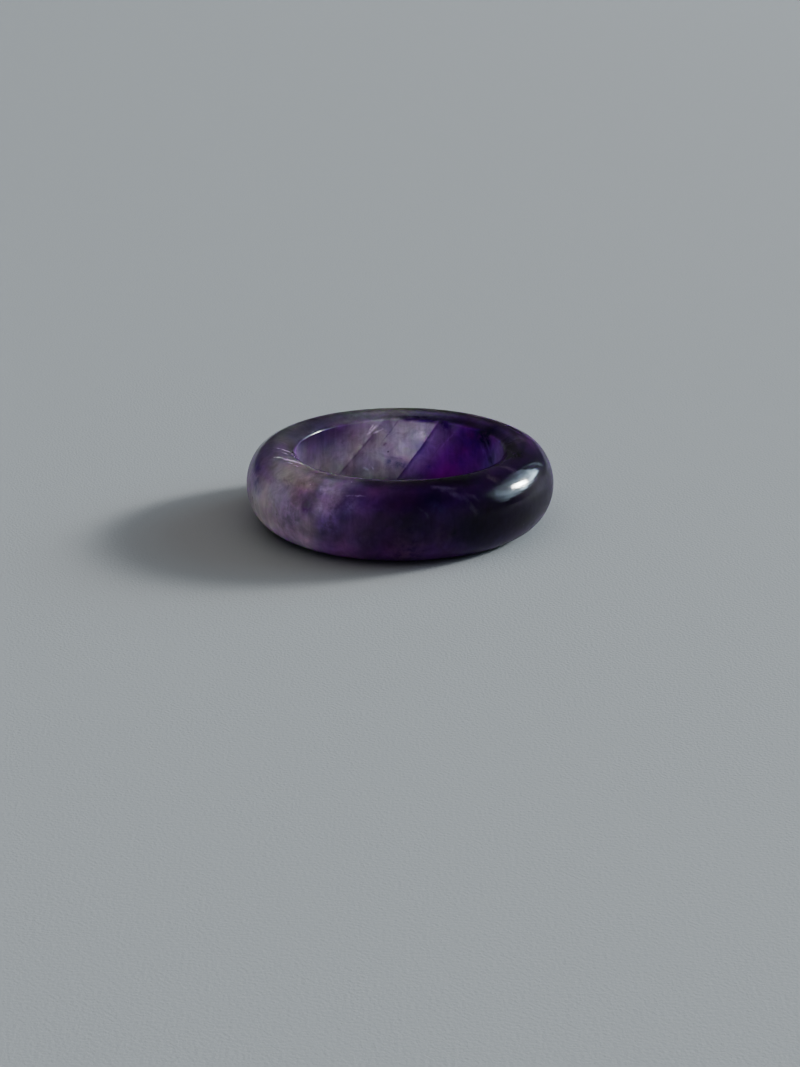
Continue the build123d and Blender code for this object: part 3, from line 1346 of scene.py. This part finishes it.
def soft_light(name, azimuth, elevation, width, height, radiance, colour, roll, edges):
    """An area lamp that looks at the ring from a direction and fades towards its edges."""
    lamp = bpy.data.lights.new(name, "AREA")
    lamp.shape = "RECTANGLE"
    lamp.size, lamp.size_y = width * LAMP_DISTANCE, height * LAMP_DISTANCE
    lamp.energy = radiance * math.pi * lamp.size * lamp.size_y
    lamp.color = colour
    lamp.use_nodes = True
    fade_lamp(lamp.node_tree, edges)
    hung = bpy.data.objects.new(name, lamp)
    towards = direction(math.radians(azimuth), math.radians(elevation))
    hung.location = ring_centre + LAMP_DISTANCE * towards
    rolled = Matrix.Rotation(math.radians(roll), 4, towards)
    facing = towards.to_track_quat("Z", "Y").to_matrix().to_4x4()
    hung.rotation_euler = (rolled @ facing).to_euler()
    hung.visible_camera = False
    bpy.context.scene.collection.objects.link(hung)
    return hung


tell_helpers(direction, soft_light)

# %% [markdown]
# Each lamp is placed by the direction in which it is seen from the ring, and sized by how much of
# the view it fills. The bright pane is what the stone mirrors as its highlight. It is small and a
# little tilted, and yet it gives most of the light. The others are the dimmer field around it.

# %% Hang the window
SKY_BLUE = (0.66, 0.86, 1.0)
SKY_WHITE = (1.0, 0.98, 0.93)

WINDOW = (
    # name, azimuth and elevation deg, wide and high as a share of the distance, radiance, colour,
    # roll deg, soft edges: far, near, sill, top
    ("window", 74, 30.0, 1.12, 0.62, 4.6, SKY_BLUE, 0, (0.32, 0.06, 0.05, 0.75)),
    ("low_pane", 61, 16.5, 0.68, 0.17, 6.5, SKY_BLUE, 0, (0.30, 0.08, 0.20, 0.60)),
    ("bright_pane", 69.5, 23.0, 0.37, 0.20, 168.0, SKY_WHITE, -26, (0.50, 0.50, 0.45, 0.50)),
    ("frame_strip", 35, 18, 0.06, 0.60, 1.3, SKY_BLUE, 0, (0.3, 0.3, 0.3, 0.3)),
)
for row in WINDOW:
    hung = soft_light(*row)
    print(hung.name, "gives", round(hung.data.energy), "W")

# %% [markdown]
# ## The light from above
#
# Walls and ceiling throw some warm light back, and it is what keeps the ring's shadow from going
# black. We want it on the table only: the stone's tones are set by the window, and a bright ceiling
# would lie as a haze on its polish. Light linking does that. The lamp lights what is in its
# receiver collection and nothing else, while the ring still blocks its light.

# %% Fill the shadow on the table
CEILING_SIZE = 2 * LAMP_DISTANCE
CEILING_RADIANCE = 0.44
CEILING_COLOUR = (1.0, 0.93, 0.87)

ceiling = bpy.data.lights.new("ceiling", "AREA")
ceiling.shape = "DISK"
ceiling.size = CEILING_SIZE
ceiling.energy = CEILING_RADIANCE * math.pi * math.pi * (CEILING_SIZE / 2) ** 2
ceiling.color = CEILING_COLOUR
ceiling_lamp = bpy.data.objects.new("ceiling", ceiling)
ceiling_lamp.location = ring_centre + Vector((0, 0, LAMP_DISTANCE))
ceiling_lamp.visible_camera = False
bpy.context.scene.collection.objects.link(ceiling_lamp)
table_only = bpy.data.collections.new("table_only")
table_only.objects.link(floor)
ceiling_lamp.light_linking.receiver_collection = table_only

# %% [markdown]
# ## The room
#
# What is left is the room itself, which the stone mirrors faintly all round. It is dim above and a
# little brighter low down on the camera's side, and the wall under the window glows. A world shader
# says how bright each direction is, and soft steps on the direction draw these three.

# %% Light the room
ROOM_COLOUR = (0.92, 0.92, 1.0)
DIM = 0.065
CAMERA_SIDE_GLOW = 0.19
WINDOW_WALL_GLOW = 0.35

room = bpy.data.worlds.new("room")
room.use_nodes = True
bpy.context.scene.world = room
sky = room.node_tree
backdrop = sky.nodes["Background"]
aim = put(sky, "ShaderNodeTexCoord")
to_the_right, away, up = split(sky, aim.outputs["Generated"])
low_down = ease(sky, up, 0.7, 0.1)
our_side = ease(sky, away, 0.3, -0.8)
glow = reckon(sky, "MULTIPLY", both(sky, low_down, our_side), CAMERA_SIDE_GLOW)
window_side = both(sky, ease(sky, to_the_right, 0.55, 0.85), low_down)
window_side = both(sky, window_side, ease(sky, away, 0.0, 0.35))
dim_or_wall = reckon(sky, "MULTIPLY_ADD", window_side, WINDOW_WALL_GLOW, DIM)
glow = reckon(sky, "ADD", dim_or_wall, glow)
backdrop.inputs["Color"].default_value = (*ROOM_COLOUR, 1)
feed(sky, backdrop.inputs["Strength"], glow)
print("the room goes from", DIM, "to", DIM + WINDOW_WALL_GLOW)

# %% [markdown]
# ## How the picture is developed
#
# A view transform turns light into colours on the screen. AgX keeps the highlight from burning out,
# as film does, and the medium high contrast look gives the dark stone its depth back.

# %% Choose the view transform
view = bpy.context.scene.view_settings
view.view_transform = "AgX"
view.look = "AgX - Medium High Contrast"
print("view:", view.view_transform, "with the look", view.look)
